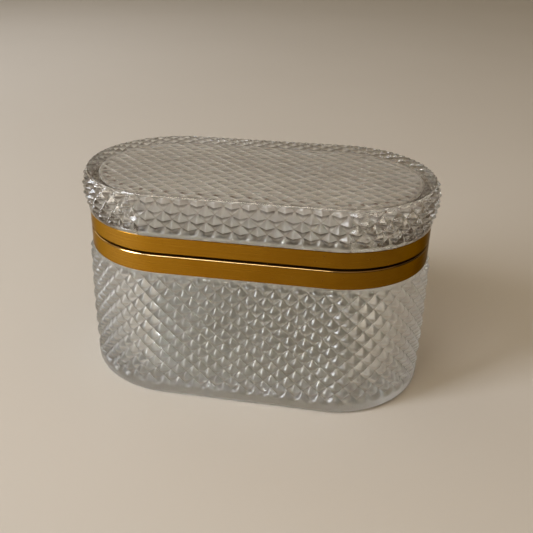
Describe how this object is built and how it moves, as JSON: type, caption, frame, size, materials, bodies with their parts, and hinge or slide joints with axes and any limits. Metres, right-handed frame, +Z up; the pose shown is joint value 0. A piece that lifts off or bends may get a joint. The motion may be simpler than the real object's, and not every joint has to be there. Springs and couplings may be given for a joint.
{
  "type": "hinged glass jewelry box",
  "caption": "Clear pressed-glass casket with rounded ends and diamond-point walls, its lid hinged at the back on plain gilt-brass bands that close the mouth.",
  "frame": {"origin": "middle of the flat underside of the glass body", "axes": "+Z up, +X along the length, front towards -Y, hinge at +Y"},
  "size_m": [0.1862, 0.1068, 0.1138],
  "materials": {
    "clear_glass": "pressed, fire-polished, flat top ground and polished",
    "gilt_brass": "satin, brushed along the band",
    "hinge_brass": "satin, slightly tarnished",
    "cement": "matte, chalky"
  },
  "bodies": {
    "base": {"base_glass": "clear_glass", "base_collar": "gilt_brass", "base_cement": "cement", "base_lip": "gilt_brass", "hinge_base_leaf": "hinge_brass", "hinge_base_rivets": "hinge_brass", "hinge_pin": "hinge_brass"},
    "lid": {"lid_glass": "clear_glass", "lid_collar": "gilt_brass", "lid_cement": "cement", "hinge_lid_leaf": "hinge_brass", "hinge_lid_rivets": "hinge_brass"}
  },
  "joints": [
    {"name": "lid_hinge", "type": "hinge", "parent": "base", "child": "lid", "pos_m": [0, 0.0507, 0.08313], "axis": [-1, 0, 0], "range_deg": [0, 105]}
  ]
}
